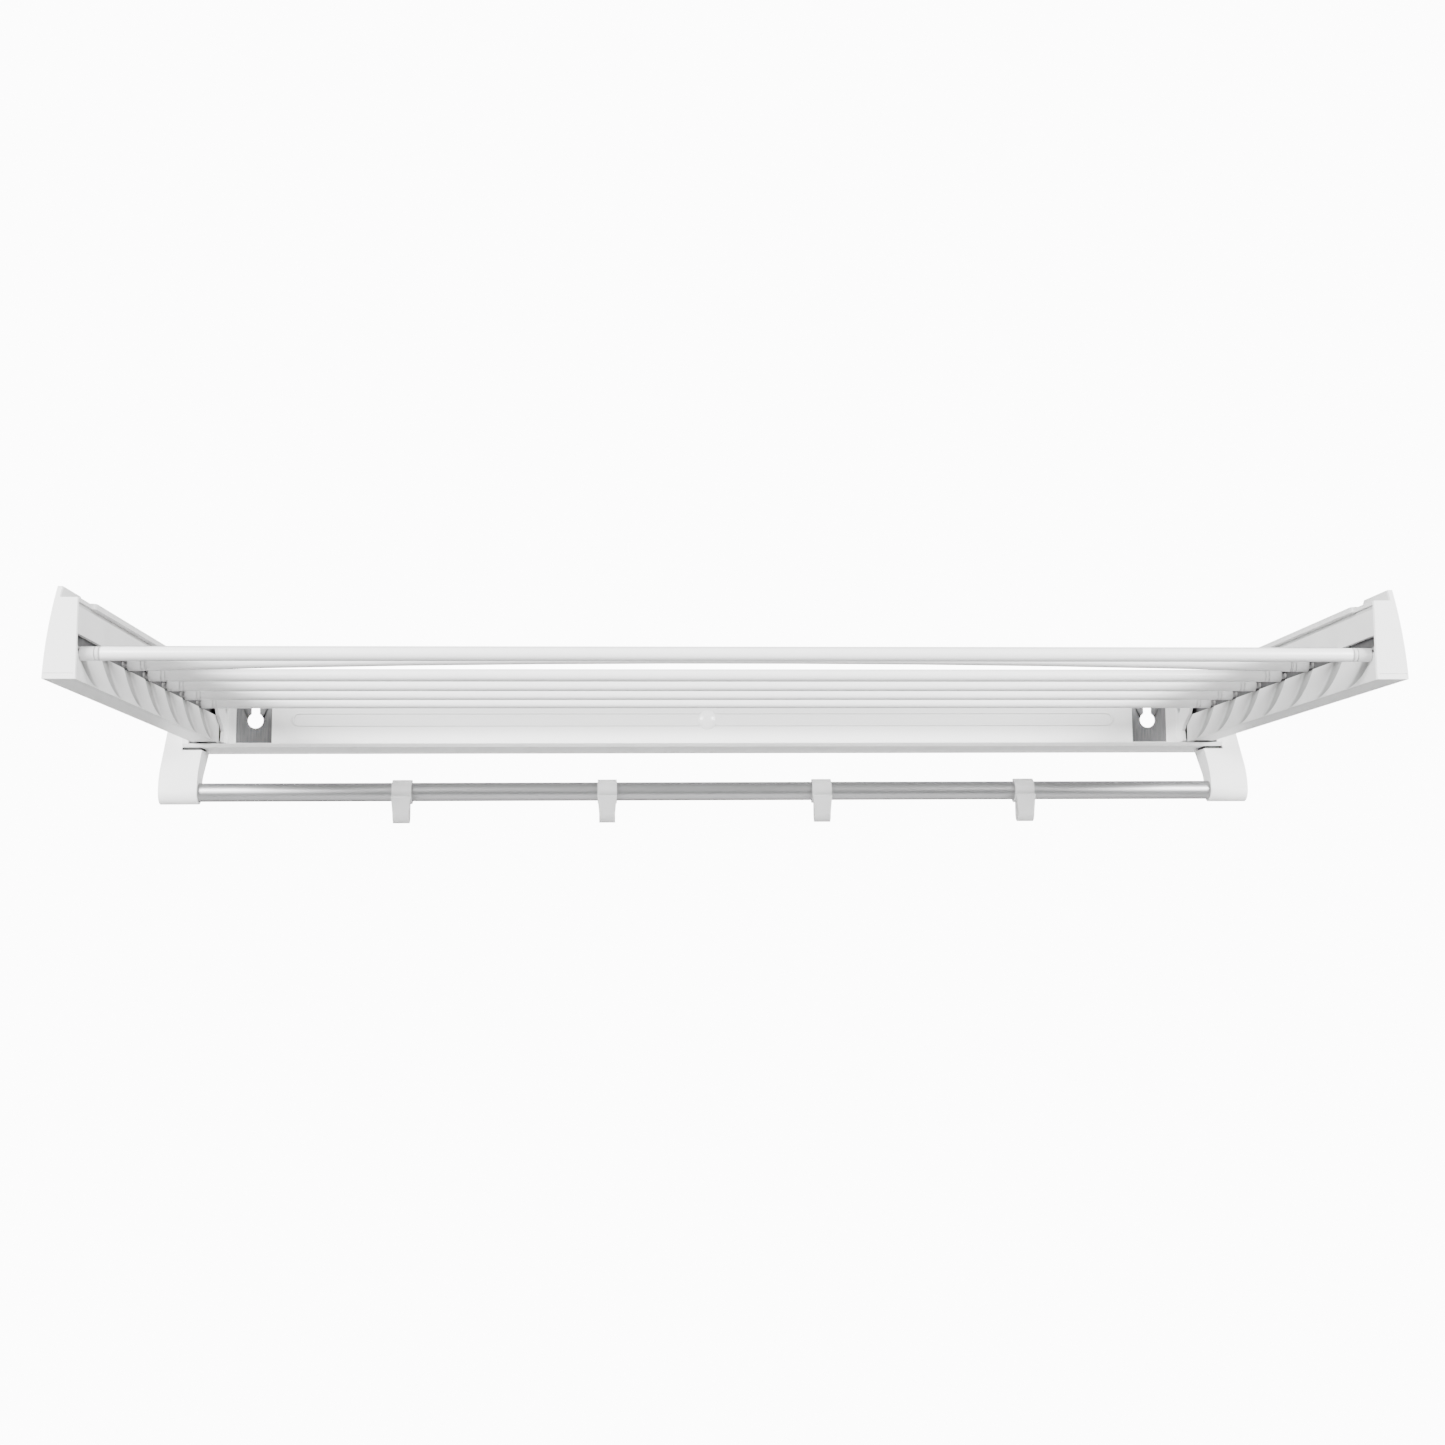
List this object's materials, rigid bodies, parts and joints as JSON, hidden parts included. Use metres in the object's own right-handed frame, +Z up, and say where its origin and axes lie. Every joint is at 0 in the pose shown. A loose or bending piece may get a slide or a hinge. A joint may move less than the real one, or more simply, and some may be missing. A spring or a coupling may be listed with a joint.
{
  "type": "wall mounted fold down drying rack",
  "caption": "White wall mounted clothes drying rack: wall rail with towel bar and sliding hooks, and a folding frame of two moulded arms joined by thin rods.",
  "frame": {"origin": "middle of the rail's back face, on the wall, at the level of the rear rods", "axes": "+X along the rail, +Y into the wall, +Z up"},
  "size_m": [1.016, 0.5067, 0.1422],
  "materials": {
    "rail_plastic": "smooth satin white moulding",
    "arm_plastic": "smooth satin white moulding",
    "end_cap_plastic": "matt white moulding",
    "rod_coating": "white powder coat",
    "rod_cap_plastic": "matt white moulding",
    "hook_plastic": "matt white moulding",
    "carrier_plastic": "matt dark moulding, inside the arms",
    "plate_steel": "zinc plated sheet",
    "pin_steel": "turned",
    "pad_rubber": "soft dark pad",
    "bar_aluminium": "brushed, drawn along its length"
  },
  "bodies": {
    "wall_frame": {"back_rail": "rail_plastic", "ledge": "rail_plastic", "left_keyhole_plate": "plate_steel", "right_keyhole_plate": "plate_steel", "left_hinge_block": "rail_plastic", "right_hinge_block": "rail_plastic", "left_end_cheek": "rail_plastic", "right_end_cheek": "rail_plastic", "centre_cap": "rail_plastic", "left_bar_bracket": "rail_plastic", "right_bar_bracket": "rail_plastic", "towel_bar": "bar_aluminium", "left_hinge_pin": "pin_steel", "right_hinge_pin": "pin_steel", "left_stop_pad": "pad_rubber", "right_stop_pad": "pad_rubber", "left_bracket_gasket": "pad_rubber", "right_bracket_gasket": "pad_rubber"},
    "rack": {"left_arm_shell": "arm_plastic", "right_arm_shell": "arm_plastic", "left_arm_top": "arm_plastic", "right_arm_top": "arm_plastic", "left_fluted_wall": "arm_plastic", "right_fluted_wall": "arm_plastic", "left_end_cap": "end_cap_plastic", "right_end_cap": "end_cap_plastic", "left_arm_heel": "carrier_plastic", "right_arm_heel": "carrier_plastic", "left_rod_carrier": "carrier_plastic", "right_rod_carrier": "carrier_plastic", "rod_tube_1": "rod_coating", "rod_tube_2": "rod_coating", "rod_tube_3": "rod_coating", "rod_tube_4": "rod_coating", "rod_tube_5": "rod_coating", "rod_tube_6": "rod_coating", "rod_tube_7": "rod_coating", "left_rod_cap_1": "rod_cap_plastic", "left_rod_cap_2": "rod_cap_plastic", "left_rod_cap_3": "rod_cap_plastic", "left_rod_cap_4": "rod_cap_plastic", "left_rod_cap_5": "rod_cap_plastic", "left_rod_cap_6": "rod_cap_plastic", "left_rod_cap_7": "rod_cap_plastic", "right_rod_cap_1": "rod_cap_plastic", "right_rod_cap_2": "rod_cap_plastic", "right_rod_cap_3": "rod_cap_plastic", "right_rod_cap_4": "rod_cap_plastic", "right_rod_cap_5": "rod_cap_plastic", "right_rod_cap_6": "rod_cap_plastic", "right_rod_cap_7": "rod_cap_plastic"},
    "hook_1": {"hook_1": "hook_plastic"},
    "hook_2": {"hook_2": "hook_plastic"},
    "hook_3": {"hook_3": "hook_plastic"},
    "hook_4": {"hook_4": "hook_plastic"}
  },
  "joints": [
    {"name": "rack_fold", "type": "hinge", "parent": "wall_frame", "child": "rack", "pos_m": [0, -0.05, 0.004], "axis": [-1, 0, 0], "range_deg": [0, 90]},
    {"name": "hook_1_slide", "type": "slide", "parent": "wall_frame", "child": "hook_1", "axis": [1, 0, 0], "range_m": [-0.17, 0.085]},
    {"name": "hook_2_slide", "type": "slide", "parent": "wall_frame", "child": "hook_2", "axis": [1, 0, 0], "range_m": [-0.085, 0.09]},
    {"name": "hook_3_slide", "type": "slide", "parent": "wall_frame", "child": "hook_3", "axis": [1, 0, 0], "range_m": [-0.09, 0.085]},
    {"name": "hook_4_slide", "type": "slide", "parent": "wall_frame", "child": "hook_4", "axis": [1, 0, 0], "range_m": [-0.085, 0.16]}
  ]
}
